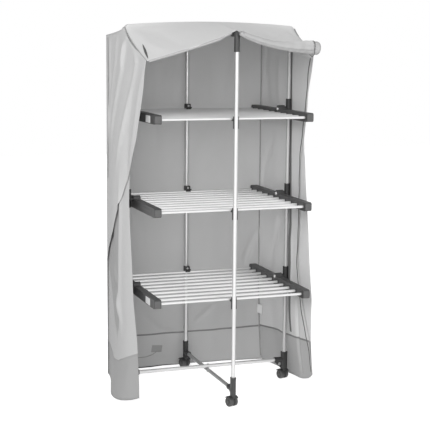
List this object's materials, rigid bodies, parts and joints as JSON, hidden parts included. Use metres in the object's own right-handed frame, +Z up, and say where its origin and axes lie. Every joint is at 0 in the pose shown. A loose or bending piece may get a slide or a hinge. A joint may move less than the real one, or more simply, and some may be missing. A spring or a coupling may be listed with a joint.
{
  "type": "heated clothes airer",
  "caption": "Folding heated clothes airer: crossed tube frames with hinged shelves of heated bars, swivel casters and a fabric cover with its doors thrown back.",
  "frame": {"origin": "on the floor, under the vertical axis where the two frames cross", "axes": "+X to the right along the heated bars, +Y to the rear, +Z up"},
  "size_m": [0.7863, 0.6815, 1.4345],
  "materials": {
    "tube": "satin light grey powder coat",
    "bar": "satin anodised",
    "plastic": "fine moulded grain",
    "wheel": "moulded",
    "steel": "zinc plated",
    "wire": "silicone sleeve",
    "fabric_outer": "woven polyester, light grey",
    "fabric_inner": "woven polyester, shaded inner face"
  },
  "bodies": {
    "side_frame": {"left_upright": "tube", "right_upright": "tube", "side_base_tube": "tube", "side_top_tube": "tube", "left_base_fitting": "plastic", "right_base_fitting": "plastic", "left_top_elbow": "plastic", "right_top_elbow": "plastic", "left_hinge_sleeves": "plastic", "right_hinge_sleeves": "plastic", "left_hinge_pins": "steel", "right_hinge_pins": "steel", "fold_rivets": "steel", "fold_spacer": "plastic"},
    "cross_frame": {"front_upright": "tube", "rear_upright": "tube", "cross_base_tube": "tube", "cross_top_tube": "tube", "front_base_fitting": "plastic", "rear_base_fitting": "plastic", "front_top_elbow": "plastic", "rear_top_elbow": "plastic", "front_bar_clips": "plastic", "rear_bar_clips": "plastic", "clip_rivets": "steel"},
    "bottom_shelf": {"bottom_shelf_bars": "bar", "bottom_shelf_left_arm": "plastic", "bottom_shelf_right_arm": "plastic", "bottom_shelf_heating_wire": "wire"},
    "middle_shelf": {"middle_shelf_bars": "bar", "middle_shelf_left_arm": "plastic", "middle_shelf_right_arm": "plastic", "middle_shelf_heating_wire": "wire"},
    "top_shelf": {"top_shelf_bars": "bar", "top_shelf_left_arm": "plastic", "top_shelf_right_arm": "plastic", "top_shelf_heating_wire": "wire"},
    "front_caster": {"front_caster_hood": "plastic"},
    "front_wheels": {"front_caster_wheels": "wheel", "front_caster_axle": "steel"},
    "rear_caster": {"rear_caster_hood": "plastic"},
    "rear_wheels": {"rear_caster_wheels": "wheel", "rear_caster_axle": "steel"},
    "left_caster": {"left_caster_hood": "plastic"},
    "left_wheels": {"left_caster_wheels": "wheel", "left_caster_axle": "steel"},
    "right_caster": {"right_caster_hood": "plastic"},
    "right_wheels": {"right_caster_wheels": "wheel", "right_caster_axle": "steel"},
    "cover": {"cover_top": "fabric_outer", "cover_back": "fabric_inner", "cover_left_side": "fabric_outer", "cover_right_side": "fabric_inner", "left_door_flap": "fabric_outer", "right_door_flap": "fabric_outer", "rolled_door": "fabric_outer"}
  },
  "joints": [
    {"name": "frame_fold", "type": "hinge", "parent": "side_frame", "child": "cross_frame", "pos_m": [0, 0, 0.07375], "axis": [0, 0, 1], "range_deg": [0, 72]},
    {"name": "bottom_shelf_hinge", "type": "hinge", "parent": "side_frame", "child": "bottom_shelf", "pos_m": [0, 0, 0.4285], "axis": [-1, 0, 0], "range_deg": [0, 82]},
    {"name": "middle_shelf_hinge", "type": "hinge", "parent": "side_frame", "child": "middle_shelf", "pos_m": [0, 0, 0.7645], "axis": [-1, 0, 0], "range_deg": [0, 82]},
    {"name": "top_shelf_hinge", "type": "hinge", "parent": "side_frame", "child": "top_shelf", "pos_m": [0, 0, 1.1005], "axis": [-1, 0, 0], "range_deg": [0, 82]},
    {"name": "cover_lift", "type": "slide", "parent": "side_frame", "child": "cover", "axis": [0, 0, 1], "range_m": [0, 1.42]},
    {"name": "front_caster_swivel", "type": "hinge", "parent": "cross_frame", "child": "front_caster", "pos_m": [0, -0.2825, 0.045], "axis": [0, 0, 1], "continuous": true},
    {"name": "front_wheel_axle", "type": "hinge", "parent": "front_caster", "child": "front_wheels", "pos_m": [-0.00234, -0.27485, 0.019], "axis": [0.9563, 0.2924, 0], "continuous": true},
    {"name": "rear_caster_swivel", "type": "hinge", "parent": "cross_frame", "child": "rear_caster", "pos_m": [0, 0.2825, 0.045], "axis": [0, 0, 1], "continuous": true},
    {"name": "rear_wheel_axle", "type": "hinge", "parent": "rear_caster", "child": "rear_wheels", "pos_m": [-0.00234, 0.29015, 0.019], "axis": [0.9563, 0.2924, 0], "continuous": true},
    {"name": "left_caster_swivel", "type": "hinge", "parent": "side_frame", "child": "left_caster", "pos_m": [-0.328, 0, 0.045], "axis": [0, 0, 1], "continuous": true},
    {"name": "left_wheel_axle", "type": "hinge", "parent": "left_caster", "child": "left_wheels", "pos_m": [-0.33034, 0.00765, 0.019], "axis": [0.9563, 0.2924, 0], "continuous": true},
    {"name": "right_caster_swivel", "type": "hinge", "parent": "side_frame", "child": "right_caster", "pos_m": [0.328, 0, 0.045], "axis": [0, 0, 1], "continuous": true},
    {"name": "right_wheel_axle", "type": "hinge", "parent": "right_caster", "child": "right_wheels", "pos_m": [0.32566, 0.00765, 0.019], "axis": [0.9563, 0.2924, 0], "continuous": true}
  ],
  "couplings": [
    {"joint": "bottom_shelf_hinge", "follows": "frame_fold", "ratio": 1.1388},
    {"joint": "middle_shelf_hinge", "follows": "frame_fold", "ratio": 1.1388},
    {"joint": "top_shelf_hinge", "follows": "frame_fold", "ratio": 1.1388},
    {"joint": "cover_lift", "follows": "frame_fold", "m_per_rad": 1.12}
  ]
}
